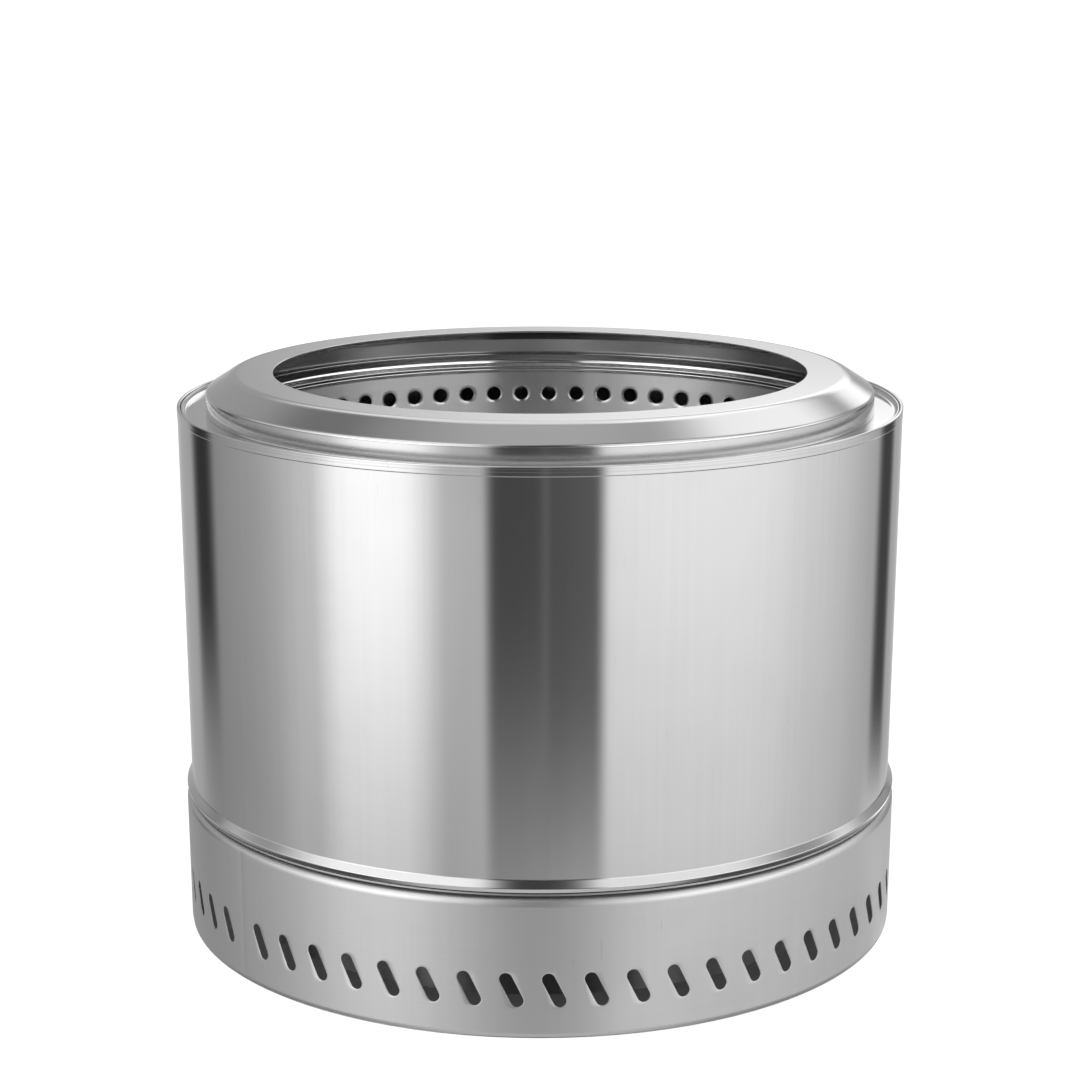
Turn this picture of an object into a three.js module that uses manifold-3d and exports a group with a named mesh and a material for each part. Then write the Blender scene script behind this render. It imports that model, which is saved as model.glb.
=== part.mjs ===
// A free-standing double-walled fire pit on a slotted stand, all of stainless sheet.
// Units are millimetres and +Z is up. The origin is on the ground at the middle of the stand.
// Angles run from the front, which is -Y, towards +X.
import * as THREE from "three";
import { mergeVertices } from "three/addons/utils/BufferGeometryUtils.js";
import Module from "manifold-3d";

const wasm = await Module();
wasm.setup();

// How finely round things are cut
const facets = 48;
const bendSteps = 2;
const holeSides = 6;
const grateHoleSides = 8;
const slotEndSteps = 3;
const cutOverrun = 4;

// Clearances
const weldGap = 0.3;
const nestClearance = 0.8;
const ringClearance = 1.3;
const liftClearance = 6.5;
const panClearance = 4;

// Stand: a rolled skirt with a curled lip, a hemmed foot and slanting air slots
const standHeight = 71.8;
const standOverhang = 3;
const standSheet = 1;
const standLipRound = 4;
const standLipFlat = 8;
const standLipDrop = 5;
const footHemHeight = 5;
const slotCount = 58;
const slotWidth = 6.5;
const slotLength = 18.8;
const slotLean = THREE.MathUtils.degToRad(26);
const slotCentreHeight = 25;
const standSeamAngle = THREE.MathUtils.degToRad(-51.8);
const standSeamGap = THREE.MathUtils.degToRad(9.2);

// Outer wall: a cylinder with a folded rim and a flared bead at its foot
const bodyRadius = 190;
const bodyHeight = 208.8;
const wallSheet = 0.8;
const rimFoldDepth = 4.6;
const rimRound = 0.5;
const beadHeight = 6.4;
const beadProud = 2.8;
const beadRound = 1.1;
const beadLipHeight = 2.1;

// Top deck: the plate between the walls, with a raised roll that centres the flame ring
const deckDrop = 3.6;
const deckSheet = 0.8;
const deckEdgeRise = 2.9;
const deckEdgeBend = 2;
const rollRise = 1.6;
const rollOuterWidth = 2.8;
const rollInnerWidth = 5.1;
const rollFall = 5.1;
const mouthBeadDepth = 3.4;
const mouthBeadProud = 1.3;
const mouthFlangeDepth = 10.1;

// Burn chamber: the inner drum, its floor and the ledge that carries the grate
const cavityWidth = 23;
const chamberGroundGap = 11.7;
const chamberTopLap = 5;
const upperHoleCount = 64;
const upperHoleDiameter = 8;
const upperHoleDrop = 24.9;
const upperHoleStart = THREE.MathUtils.degToRad(-1.8);
const lowerHoleCount = 24;
const lowerHoleDiameter = 11;
const floorSheet = 1;
const floorFlangeHeight = 9;
const airBandHeight = 20;
const ledgeSheet = 1.2;
const ledgeFlangeDrop = 5;
const ledgeLipDrop = 6;

// Base ring: closes the cavity below, sits on the stand's lip and nests inside it
const baseSheet = 1;
const seamLift = 1.3;
const seamProud = 1.9;
const baseSeatWidth = 5.5;
const baseRibDepth = 5;
const baseCollarHeight = 7;
const baseHoleCount = 20;
const baseHoleMargin = 2;

// Flame ring: one loose pressed sheet, open underneath
const ringSheet = 1;
const ringHeight = 19.3;
const ringWidth = 35.4;
const ringFlatWidth = 21.1;
const ringBandHeight = 10.4;
const ringBandLean = 0.2;
const ringFootHeight = 1.6;
const ringTopBend = 9;
const ringShoulderBend = 1.6;

// Grate
const grateSheet = 2.5;
const grateSeatLap = 5;
const grateHoleDiameter = 14;
const grateRingCount = 3;
const grateEdgeMargin = 19.4;
const grateFirstRingHoles = 6;
const grateGripDiameter = 18;
const grateGripInset = 16;

// Ash pan with two riveted lifting lugs
const panSheet = 0.8;
const panHeight = 27;
const panLipWidth = 3;
const panBend = 6;
const lugSheet = 1.5;
const lugWidth = 26;
const lugRise = 10;
const lugReach = 9;
const lugFoot = 6;
const rivetRadius = 1.8;
const rivetHeadRadius = 3.4;
const rivetHeadHeight = 1.3;
const rivetPitch = 10;
const rivetSides = 8;
const rivetHeight = 7;

// Places that follow from the sizes above
const standRadius = bodyRadius + standOverhang;
const standLipInner = standRadius - standLipRound - standLipFlat;
const rimTop = standHeight + bodyHeight;
const deckTop = rimTop - deckDrop;
const deckEdgeRadius = bodyRadius - 2 * wallSheet - weldGap;
const chamberRadius = bodyRadius - cavityWidth;
const chamberInner = chamberRadius - wallSheet;
const mouthRadius = chamberInner - weldGap - deckSheet;
const rollCrestRadius = mouthRadius + rollInnerWidth;
const rollCrest = deckTop + rollRise;
const rollFootRadius = rollCrestRadius + rollOuterWidth;
const mouthFlangeFoot = rollCrest - mouthFlangeDepth;
const chamberTop = mouthFlangeFoot + chamberTopLap;
const ringFootRadius = rollFootRadius + ringClearance + ringSheet;
const ringHoleRadius = ringFootRadius - ringWidth;
const grateRadius = ringHoleRadius - liftClearance;
const ledgeInner = grateRadius - grateSeatLap;
const grateRingPitch = (ledgeInner - grateEdgeMargin - grateHoleDiameter / 2) / grateRingCount;
const floorTop = chamberGroundGap + floorFlangeHeight;
const panRim = floorTop + panHeight;
const panRadius = ledgeInner - panClearance - panLipWidth;
const ledgeTop = panRim + airBandHeight;
const seamBottom = standHeight + seamLift;
const beadBottom = seamBottom + baseSheet + weldGap;
const baseRibRadius = standLipInner - nestClearance;
const baseShelf = standHeight - baseRibDepth;
const turn = 2 * Math.PI;

// A point of a section: its radius, its height and, at a corner, the bend's radius
function at(radius, height, bend = 0) {
  return { radius, height, bend };
}

// Rounds each corner of a section that has a bend radius, with points on an arc
function bent(corners) {
  const points = [];
  corners.forEach((corner, i) => {
    const here = new THREE.Vector2(corner.radius, corner.height);
    if (!corner.bend) {
      points.push(here);
      return;
    }
    const towards = ({ radius, height }) => new THREE.Vector2(radius, height).sub(here).normalize();
    const before = towards(corners[i - 1]);
    const after = towards(corners[i + 1]);
    const halfOpening = before.angleTo(after) / 2;
    const inwards = before.clone().add(after).normalize();
    const centre = here.clone().addScaledVector(inwards, corner.bend / Math.sin(halfOpening));
    const start = here.clone().addScaledVector(before, corner.bend / Math.tan(halfOpening)).sub(centre);
    const sweep = (Math.PI - 2 * halfOpening) * Math.sign(before.cross(after));
    for (let step = 0; step <= bendSteps; step += 1) {
      const spoke = start.clone().rotateAround(new THREE.Vector2(0, 0), (-sweep * step) / bendSteps);
      points.push(centre.clone().add(spoke));
    }
  });
  return points;
}

// The same line moved sideways by the sheet's thickness, to the left of its direction
function offset(points, sheet) {
  return points.map((point, i) => {
    const into = point.clone().sub(points[Math.max(i - 1, 0)]).normalize();
    const out = points[Math.min(i + 1, points.length - 1)].clone().sub(point).normalize();
    const along = into.clone().add(out).normalize();
    const left = new THREE.Vector2(-along.y, along.x);
    const straight = into.lengthSq() && out.lengthSq() ? Math.cos(into.angleTo(out) / 2) : 1;
    return point.clone().addScaledVector(left, sheet / straight);
  });
}

// A bent sheet's closed section: its given face and the face behind it
function sheetSection(corners, sheet) {
  const face = bent(corners);
  return [...face, ...offset(face, sheet).reverse()];
}

// Turns a closed section round the Z axis, with its faces pointing out
function revolve(section, sides = facets, start = 0) {
  const next = (i) => section[(i + 1) % section.length];
  const area = section.reduce((sum, point, i) => sum + point.cross(next(i)), 0);
  const ring = area > 0 ? [...section] : [...section].reverse();
  const onAxis = (point) => point.x === 0;
  while (ring.some(onAxis) && !(onAxis(ring[0]) && onAxis(ring[ring.length - 1]))) {
    ring.push(ring.shift());
  }
  if (!ring.some(onAxis)) {
    ring.push(ring[0]);
  }
  return new THREE.LatheGeometry(ring, sides, start).rotateX(Math.PI / 2);
}

// Gives a turned blank's facets an angle of their own, from a start angle on
function spread(geometry, facetAngle, start) {
  const position = geometry.attributes.position;
  const sides = geometry.parameters.segments;
  for (let i = 0; i < position.count; i += 1) {
    const radius = Math.hypot(position.getX(i), position.getY(i));
    const angle = Math.atan2(position.getX(i), -position.getY(i));
    const line = Math.round(((angle + turn) * sides) / turn) % sides;
    const placed = start + line * facetAngle;
    position.setXY(i, radius * Math.sin(placed), -radius * Math.cos(placed));
  }
  return geometry;
}

function solid(geometry) {
  const plain = geometry.index ? geometry.toNonIndexed() : geometry.clone();
  plain.deleteAttribute("normal");
  plain.deleteAttribute("uv");
  const merged = mergeVertices(plain);
  const vertProperties = new Float32Array(merged.attributes.position.array);
  const triVerts = new Uint32Array(merged.index.array);
  return new wasm.Manifold(new wasm.Mesh({ numProp: 3, vertProperties, triVerts }));
}

function cut(blank, cutters) {
  let body = solid(blank);
  cutters.forEach((cutter) => {
    body = body.subtract(solid(cutter));
  });
  const mesh = body.getMesh();
  const geometry = new THREE.BufferGeometry();
  geometry.setAttribute("position", new THREE.BufferAttribute(mesh.vertProperties, mesh.numProp));
  geometry.setIndex(new THREE.BufferAttribute(mesh.triVerts, 1));
  geometry.computeVertexNormals();
  return geometry;
}

// Moves a cutter that points along +Z, with its up along +Y, to a place on a round wall
function onWall(geometry, angle, radius, height) {
  const outwards = new THREE.Vector3(Math.sin(angle), -Math.cos(angle), 0);
  const up = new THREE.Vector3(0, 0, 1);
  const sideways = up.clone().cross(outwards);
  const frame = new THREE.Matrix4().makeBasis(sideways, up, outwards);
  frame.setPosition(outwards.multiplyScalar(radius).setZ(height));
  return geometry.applyMatrix4(frame);
}

function roundHole(diameter, depth, sides = holeSides) {
  return new THREE.CylinderGeometry(diameter / 2, diameter / 2, depth, sides).rotateX(Math.PI / 2);
}

// A row of equal round holes through a wall
function holeRow(count, diameter, radius, height, start) {
  return Array.from({ length: count }, (_, i) =>
    onWall(roundHole(diameter, 2 * cutOverrun), start + (turn * i) / count, radius, height),
  );
}

// One leaning slot with round ends
function slotCutter() {
  const run = (slotLength - slotWidth) / 2;
  const ends = [run, -run].flatMap((height, end) =>
    Array.from({ length: slotEndSteps + 1 }, (_, step) => {
      const angle = Math.PI * (end + step / slotEndSteps);
      const spoke = new THREE.Vector2(Math.cos(angle), Math.sin(angle)).multiplyScalar(slotWidth / 2);
      return spoke.setY(spoke.y + height);
    }),
  );
  const options = { depth: 2 * cutOverrun, bevelEnabled: false };
  const upright = new THREE.ExtrudeGeometry(new THREE.Shape(ends), options);
  return upright.rotateZ(slotLean).translate(0, 0, -cutOverrun);
}

function standSkirt() {
  const hemRadius = standRadius - 2 * standSheet;
  const skin = [
    at(standRadius, 0),
    at(standRadius, standHeight, standLipRound),
    at(standLipInner, standHeight),
    at(standLipInner, standHeight - standLipDrop),
  ];
  const face = bent(skin);
  const back = offset(face, standSheet).reverse();
  const foot = back.pop();
  const hem = [
    new THREE.Vector2(foot.x, footHemHeight),
    new THREE.Vector2(hemRadius, footHemHeight),
    new THREE.Vector2(hemRadius, 0),
  ];
  const pitch = (turn - standSeamGap) / (slotCount - 1);
  const firstSlot = standSeamAngle + standSeamGap / 2;
  // One facet holds each slot, and a narrow facet lies at the seam
  const blank = spread(revolve([...face, ...back, ...hem], slotCount + 1), pitch, firstSlot - pitch / 2);
  const slots = Array.from({ length: slotCount }, (_, i) =>
    onWall(slotCutter(), firstSlot + pitch * i, standRadius, slotCentreHeight),
  );
  return cut(blank, slots);
}

function outerWall() {
  const beadRadius = bodyRadius + beadProud;
  const beadLip = beadBottom + beadLipHeight;
  const bead = bent([
    at(beadRadius - 2 * beadRound, beadBottom),
    at(beadRadius, beadBottom, beadRound),
    at(beadRadius, beadLip, beadRound),
    at(bodyRadius, beadBottom + beadHeight),
  ]);
  const inner = bent([
    at(bodyRadius - wallSheet, beadBottom + beadHeight),
    at(beadRadius - wallSheet, beadLip),
    at(beadRadius - wallSheet, beadBottom + beadRound),
    at(beadRadius - 2 * beadRound, beadBottom + wallSheet),
  ]);
  const rim = [
    at(bodyRadius, rimTop - rimRound),
    at(bodyRadius - rimRound, rimTop),
    at(bodyRadius - 2 * wallSheet, rimTop),
    at(bodyRadius - 2 * wallSheet, rimTop - rimFoldDepth),
    at(bodyRadius - wallSheet, rimTop - rimFoldDepth),
  ];
  return revolve([...bead, ...bent(rim), ...inner]);
}

// The deck's section runs on its upper face from the rim, over the roll, to the mouth's bead
function topDeck() {
  const edge = deckEdgeRadius - deckSheet;
  const quarterTurn = Array.from({ length: bendSteps }, (_, i) => (Math.PI * (i + 1)) / (2 * bendSteps));
  const rollOuter = quarterTurn.map((angle) =>
    at(rollFootRadius - rollOuterWidth * (1 - Math.cos(angle)), deckTop + rollRise * Math.sin(angle)),
  );
  const rollInner = quarterTurn.map((angle) =>
    at(rollCrestRadius - rollInnerWidth * Math.sin(angle), rollCrest - rollFall * (1 - Math.cos(angle))),
  );
  const face = bent([
    at(edge, deckTop + deckEdgeRise),
    at(edge, deckTop, deckEdgeBend),
    at(rollFootRadius, deckTop),
    ...rollOuter,
    ...rollInner,
  ]);
  const mouthBead = [
    new THREE.Vector2(mouthRadius, mouthFlangeFoot + mouthBeadDepth),
    new THREE.Vector2(mouthRadius - mouthBeadProud, mouthFlangeFoot + mouthBeadDepth / 2),
    new THREE.Vector2(mouthRadius, mouthFlangeFoot),
    new THREE.Vector2(mouthRadius + deckSheet, mouthFlangeFoot),
  ];
  const under = bent([
    at(mouthRadius + deckSheet, rollCrest - rollFall),
    at(rollCrestRadius, rollCrest - deckSheet),
    at(rollFootRadius, deckTop - deckSheet),
    at(deckEdgeRadius, deckTop - deckSheet),
    at(deckEdgeRadius, deckTop + deckEdgeRise),
  ]);
  return revolve([...face, ...mouthBead, ...under]);
}

// An upright tube or, with no inner radius, a disc
function tube(outer, inner, bottom, top) {
  return revolve(bent([at(outer, bottom), at(outer, top), at(inner, top), at(inner, bottom)]));
}

function chamberWall() {
  const middle = chamberRadius - wallSheet / 2;
  const upperHeight = rimTop - upperHoleDrop;
  const lowerHeight = (panRim + ledgeTop - ledgeFlangeDrop) / 2;
  const upper = holeRow(upperHoleCount, upperHoleDiameter, middle, upperHeight, upperHoleStart);
  const lower = holeRow(lowerHoleCount, lowerHoleDiameter, middle, lowerHeight, Math.PI / lowerHoleCount);
  return cut(tube(chamberRadius, chamberInner, chamberGroundGap, chamberTop), [...upper, ...lower]);
}

function chamberFloor() {
  const radius = chamberInner - weldGap;
  return revolve(
    sheetSection([at(radius, chamberGroundGap), at(radius, floorTop), at(0, floorTop)], floorSheet),
  );
}

function grateLedge() {
  const outer = chamberInner - weldGap;
  return revolve(
    sheetSection(
      [
        at(outer, ledgeTop - ledgeFlangeDrop),
        at(outer, ledgeTop),
        at(ledgeInner, ledgeTop),
        at(ledgeInner, ledgeTop - ledgeLipDrop),
      ],
      ledgeSheet,
    ),
  );
}

function baseRing() {
  const collar = chamberRadius + weldGap;
  const seat = standLipInner + baseSeatWidth;
  const section = sheetSection(
    [
      at(collar, baseShelf + baseCollarHeight),
      at(collar, baseShelf),
      at(baseRibRadius, baseShelf),
      at(baseRibRadius, standHeight),
      at(seat, standHeight),
      at(seat, seamBottom),
      at(bodyRadius + seamProud, seamBottom),
    ],
    baseSheet,
  );
  const innerEdge = collar + baseSheet;
  const outerEdge = baseRibRadius - baseSheet;
  const holes = Array.from({ length: baseHoleCount }, (_, i) => {
    const angle = (turn * (i + 1 / 2)) / baseHoleCount;
    const hole = roundHole(outerEdge - innerEdge - 2 * baseHoleMargin, 2 * cutOverrun);
    return hole.translate((innerEdge + outerEdge) / 2, 0, baseShelf).rotateZ(angle);
  });
  return cut(revolve(section), holes);
}

function flameRing() {
  const crown = deckTop + ringHeight;
  const bandTop = deckTop + ringBandHeight;
  return revolve(
    sheetSection(
      [
        at(ringFootRadius, deckTop),
        at(ringFootRadius, deckTop + ringFootHeight),
        at(ringFootRadius - ringBandLean, bandTop, ringShoulderBend),
        at(ringHoleRadius + ringFlatWidth, crown, ringTopBend),
        at(ringHoleRadius, crown),
      ],
      ringSheet,
    ),
  );
}

function grate() {
  const plate = tube(grateRadius, 0, ledgeTop, ledgeTop + grateSheet);
  const holes = [];
  const drill = (diameter, radius, angle) => {
    const hole = roundHole(diameter, 2 * cutOverrun, grateHoleSides);
    holes.push(hole.translate(radius, 0, ledgeTop + grateSheet / 2).rotateZ(angle));
  };
  for (let row = 1; row <= grateRingCount; row += 1) {
    const count = grateFirstRingHoles * row;
    for (let i = 0; i < count; i += 1) {
      drill(grateHoleDiameter, grateRingPitch * row, (turn * i) / count);
    }
  }
  [0, Math.PI].forEach((angle) => drill(grateGripDiameter, grateRadius - grateGripInset, angle));
  return cut(plate, holes);
}

// The pan is turned by half a facet, so that a lug lies flat on the middle of one
const panTurn = Math.PI / facets;
const lugHeights = [rivetHeight, rivetHeight + rivetPitch];
const panWallInner = (panRadius - panSheet) * Math.cos(panTurn);
const lugFace = Math.sqrt(panWallInner ** 2 - (lugWidth / 2) ** 2) - weldGap;
const lugAngles = [-Math.PI / 2, Math.PI / 2];

function rivetHoles(angle) {
  const diameter = 2 * (rivetRadius + weldGap);
  return lugHeights.map((height) =>
    onWall(roundHole(diameter, 4 * cutOverrun), angle, panRadius, floorTop + height),
  );
}

function ashPan() {
  const section = sheetSection(
    [
      at(0, floorTop),
      at(panRadius, floorTop, panBend),
      at(panRadius, panRim - panSheet),
      at(panRadius + panLipWidth, panRim - panSheet),
    ],
    panSheet,
  );
  return cut(revolve(section, facets, panTurn), lugAngles.flatMap(rivetHoles));
}

// An angle piece: an upright on the pan's wall and a finger hook at its top
function panLug(angle) {
  const bottom = lugFoot;
  const top = panHeight + lugRise;
  const outline = new THREE.Shape([
    new THREE.Vector2(0, bottom),
    new THREE.Vector2(0, top),
    new THREE.Vector2(-lugReach, top),
    new THREE.Vector2(-lugReach, top - lugSheet),
    new THREE.Vector2(-lugSheet, top - lugSheet),
    new THREE.Vector2(-lugSheet, bottom),
  ]);
  const strip = new THREE.ExtrudeGeometry(outline, { depth: lugWidth, bevelEnabled: false });
  strip.translate(0, 0, -lugWidth / 2).rotateY(-Math.PI / 2);
  return cut(onWall(strip, angle, lugFace, floorTop), rivetHoles(angle));
}

// A rivet with a head outside the pan's wall and one inside the lug
function lugRivet(angle, height) {
  const outside = panRadius * Math.cos(panTurn) + weldGap;
  const inside = lugFace - lugSheet - weldGap;
  const profile = [
    at(0, outside + rivetHeadHeight),
    at(rivetRadius, outside + rivetHeadHeight),
    at(rivetHeadRadius, outside),
    at(rivetRadius, outside),
    at(rivetRadius, inside),
    at(rivetHeadRadius, inside),
    at(rivetRadius, inside - rivetHeadHeight),
    at(0, inside - rivetHeadHeight),
  ];
  return onWall(revolve(bent(profile), rivetSides), angle, 0, floorTop + height);
}

function steel(colour, roughness) {
  return new THREE.MeshStandardMaterial({ color: colour, roughness, metalness: 1 });
}

const polishedSteel = steel(0xc9c9c8, 0.18);
const satinSteel = steel(0xb4b4b3, 0.34);
const brushedSteel = steel(0xaeaeac, 0.42);
const plainSteel = steel(0xa6a6a4, 0.38);

function node(name, geometry, material) {
  const mesh = new THREE.Mesh(geometry, material);
  mesh.name = name;
  return mesh;
}

function assembly(...pieces) {
  const group = new THREE.Group();
  group.add(...pieces);
  return group;
}

const rivets = lugAngles.flatMap((angle, side) =>
  lugHeights.map((height, i) => node(`pan_rivet_${2 * side + i + 1}`, lugRivet(angle, height), plainSteel)),
);

const firePit = assembly(
  node("stand_skirt", standSkirt(), brushedSteel),
  assembly(
    node("outer_wall", outerWall(), polishedSteel),
    node("top_deck", topDeck(), satinSteel),
    node("base_ring", baseRing(), satinSteel),
    node("chamber_wall", chamberWall(), satinSteel),
    node("chamber_floor", chamberFloor(), plainSteel),
    node("grate_ledge", grateLedge(), plainSteel),
  ),
  node("flame_ring", flameRing(), satinSteel),
  node("grate", grate(), plainSteel),
  assembly(
    node("ash_pan", ashPan(), plainSteel),
    ...lugAngles.map((angle, side) => node(`pan_lug_${side + 1}`, panLug(angle), plainSteel)),
    ...rivets,
  ),
);

export default firePit;
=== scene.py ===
import math

import bmesh
import bpy
from mathutils import Matrix, Vector


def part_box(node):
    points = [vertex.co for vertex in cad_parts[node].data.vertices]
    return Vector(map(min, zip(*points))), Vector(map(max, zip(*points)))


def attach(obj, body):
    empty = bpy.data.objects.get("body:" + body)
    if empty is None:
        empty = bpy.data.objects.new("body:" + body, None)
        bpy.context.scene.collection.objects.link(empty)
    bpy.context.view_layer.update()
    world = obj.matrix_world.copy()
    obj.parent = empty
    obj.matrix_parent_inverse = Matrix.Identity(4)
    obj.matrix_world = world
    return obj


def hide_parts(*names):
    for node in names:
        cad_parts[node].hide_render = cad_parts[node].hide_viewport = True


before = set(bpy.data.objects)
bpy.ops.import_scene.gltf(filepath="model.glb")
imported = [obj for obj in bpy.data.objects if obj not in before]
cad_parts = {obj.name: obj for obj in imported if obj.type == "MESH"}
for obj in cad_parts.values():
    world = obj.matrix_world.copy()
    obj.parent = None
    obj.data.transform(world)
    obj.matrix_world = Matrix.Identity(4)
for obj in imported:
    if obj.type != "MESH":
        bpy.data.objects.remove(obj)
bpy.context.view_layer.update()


def reach(node):
    """The radius of a round solid of the frame."""
    low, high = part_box(node)
    return max(-low.x, high.x, -low.y, high.y)


def foot(node):
    """The height of a solid's lower end."""
    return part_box(node)[0].z


def top(node):
    """The height of a solid's upper end."""
    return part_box(node)[1].z


# Facets round a turned piece, the angle of each step of a bend, and the circle it is turned on
FACETS = 288
ARC_STEP = math.radians(11)
SPINDLE = 0.1
# Points closer than this become one, edges sharper than these angles stay sharp or are eased
WELD = 4e-6
SHARP = math.radians(38)
CUT_ANGLE = math.radians(60)
# A corner as close as this to straight isn't bent
STRAIGHT = 0.001
# Runs longer than this get a point this close to each end
LONG_RUN = 0.003
STEADY = 0.0003
# A cut edge of sheet is eased by this share of the sheet
CUT_EASE = 0.3
# How far small edges are eased, and how tightly sheet is creased
FINE_EASE = 0.0001
EASE = 0.0002
CREASE = 0.0003
# The middle of a quarter arc lies this share of its radius in from both sides
ARC_MIDDLE = 0.3
# Between a hole's cell and its outline: how much of the way out each ring of points lies
HOLE_RINGS = (1, 0.62, 0.28)

# Stand
STAND_RADIUS = 0.193
STAND_TOP = top("stand_skirt")
STAND_SHEET = 0.0006
STAND_LIP_BEND = 0.004
STAND_LIP_FLAT = 0.008
STAND_LIP_DROP = 0.005
STAND_LIP_INNER = STAND_RADIUS - STAND_LIP_BEND - STAND_LIP_FLAT
STAND_LIP_INNER_BEND = STAND_SHEET * 1.2
HEM_HEIGHT = 0.005
HEM_BEND = 0.0009
HEM_TUCK = 0.00035
HEM_TUCK_HEIGHT = 0.0022
HEM_TUCK_BEND = 0.004
SLOTS = 58
SLOT_WIDTH = 0.0065
SLOT_LENGTH = 0.0188
SLOT_LEAN = math.radians(26)
SLOT_HEIGHT = 0.025
SLOT_BAND = (0.0125, 0.0375)
SLOT_COLUMNS = 10
SLOT_ROWS = 10
SEAM_ANGLE = math.radians(-51.8)
SEAM_GAP = math.radians(9.2)
SEAM_WIDTH = 0.0012
SEAM_DEPTH = 0.00006
SEAM_BOTTOM = 0.3

# Outer wall
RIM_TOP = top("outer_wall")
BEAD_RADIUS = reach("outer_wall")
BEAD_FOOT = foot("outer_wall")
BEAD_PROUD = 0.0028
BODY_RADIUS = BEAD_RADIUS - BEAD_PROUD
WALL_SHEET = 0.0008
HEM_PROUD = 0.00022
HEM_DROP = 0.0045
HEM_INNER_DROP = 0.0046
HEM_ROUND = 0.0007
HEM_LINES = (0.0014, 0.0029)
HEM_LINE_DEPTH = 0.00003
HEM_LINE_HALF = 0.00025
BEAD_BEND = 0.0004
BEAD_INNER = BEAD_RADIUS - 0.0022
BEAD_SEAT = 0.0005
BEAD_SHY = 0.0004
BEAD_GAP = 0.0005
# The flare from the top down: how proud it is, its height over the bead's foot, its bend
FLARE = (
    (0, 0.0060, 0.0006),
    (BEAD_PROUD, 0.0026, 0.0005),
)

# Top deck
DECK_SHEET = 0.0008
DECK_TOP = RIM_TOP - 0.0036
DECK_EDGE = reach("top_deck")
DECK_EDGE_RISE = 0.0029
DECK_EDGE_BEND = 0.0020
ROLL_STEPS = 8
ROLL_FOOT = 0.1730
ROLL_CREST = 0.1702
ROLL_RISE = 0.0016
ROLL_FALL = 0.0051
ROLL_UNDER_BEND = 0.003
MOUTH_RADIUS = 0.1651
MOUTH_FOOT = foot("top_deck")
MOUTH_BEAD_DEPTH = 0.0034
MOUTH_BEAD_PROUD = 0.0013
MOUTH_BEAD_START = 0.0008
MOUTH_BEAD_BEND = 0.0009
# The bead's crown lies between these shares of its depth
MOUTH_BEAD_CROWN = (0.62, 0.38)

# Burn chamber
CHAMBER_RADIUS = reach("chamber_wall")
CHAMBER_INNER = CHAMBER_RADIUS - WALL_SHEET
CHAMBER_FOOT = foot("chamber_wall")
CHAMBER_TOP = top("chamber_wall")
CHAMBER_SPLIT = 0.150
UPPER_HOLES = 64
UPPER_HOLE = 0.0080
UPPER_HOLE_HEIGHT = RIM_TOP - 0.0249
UPPER_HOLE_START = math.radians(-1.8)
LOWER_HOLES = 24
LOWER_HOLE = 0.0110
LOWER_HOLE_HEIGHT = 0.0552
CHAMBER_COLUMNS = 576
HOLE_ROWS = 6
UPPER_BAND_HALF = 0.0075
LOWER_BAND_HALF = 0.0100
# The coined edge of a hole: how wide it is, then the share of that width and the depth of each step
HOLE_EDGE = 0.0011
HOLE_COIN = ((0, 0.0005), (0.2, 0.0004), (0.85, 0.00005), (1, 0))
FLANGE_BEND = 0.0018
FLOOR_RADIUS = reach("chamber_floor")
FLOOR_TOP = top("chamber_floor")
FLOOR_SHEET = 0.001
LEDGE_TOP = top("grate_ledge")
LEDGE_FOOT = foot("grate_ledge")
LEDGE_RADIUS = reach("grate_ledge")
LEDGE_INNER = 0.1284
LEDGE_FLANGE = 0.005
LEDGE_SHEET = 0.0012

# Base ring
BASE_RADIUS = reach("base_ring")
BASE_FOOT = foot("base_ring")
BASE_TOP = top("base_ring")
BASE_SHEET = 0.001
BASE_RIB = 0.1802
BASE_SEAT = 0.1865
BASE_COLLAR = 0.1673
BASE_HOLES = 20
BASE_HOLE_MARGIN = 0.002
BASE_COLLAR_HEIGHT = 0.007
BASE_BEND = 0.0004
BASE_COLUMNS = 14
BASE_ROWS = 4

# Flame ring
RING_TOP = top("flame_ring")
RING_FOOT = foot("flame_ring")
RING_RADIUS = reach("flame_ring")
RING_SHEET = 0.001
RING_HOLE = 0.1399
RING_FLAT = 0.0211
RING_FLAT_BEND = 0.009
RING_LEAN = 0.0002
RING_SHOULDER_HEIGHT = 0.0104
RING_SHOULDER_BEND = 0.0024
RING_FOOT_HEIGHT = 0.0016

# Grate
GRATE_RADIUS = reach("grate")
GRATE_TOP = top("grate")
GRATE_FOOT = foot("grate")
GRATE_ROWS = 3
GRATE_FIRST_ROW = 6
GRATE_PITCH = 0.034
GRATE_HOLE = 0.014
GRIP_HOLE = 0.018
GRIP_INSET = 0.016
GRATE_HOLE_SIDES = 40
GRIP_HOLE_SIDES = 48
GRATE_EASE = 0.0004

# Ash pan
PAN_RADIUS = 0.1214
PAN_LIP = 0.003
PAN_SHEET = 0.0008
PAN_FOOT = foot("ash_pan")
PAN_TOP = top("ash_pan")
PAN_BEND = 0.006
PAN_LIP_BEND = 0.0012
LUG_SHEET = 0.0015
LUG_WIDTH = 0.026
LUG_RISE = 0.010
LUG_REACH = 0.009
LUG_FOOT = 0.006
LUG_BEND = 0.0025
LUG_CORNER = 0.004
LUG_COLUMNS = 16
RIVET_SHANK = 0.0018
RIVET_HEAD = 0.0034
RIVET_HEAD_HEIGHT = 0.0013
RIVET_HEIGHTS = (PAN_FOOT + 0.007, PAN_FOOT + 0.017)
RIVET_SIDES = 24
RIVET_STEPS = 6

# Patterns of the steels: lines per metre across a piece, then up it
GRAIN_PACE = (9, 2600)
STREAK_PACE = (260, 3)
MARK_PACE = (900, 70)
PATCH_PACE = 14
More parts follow.
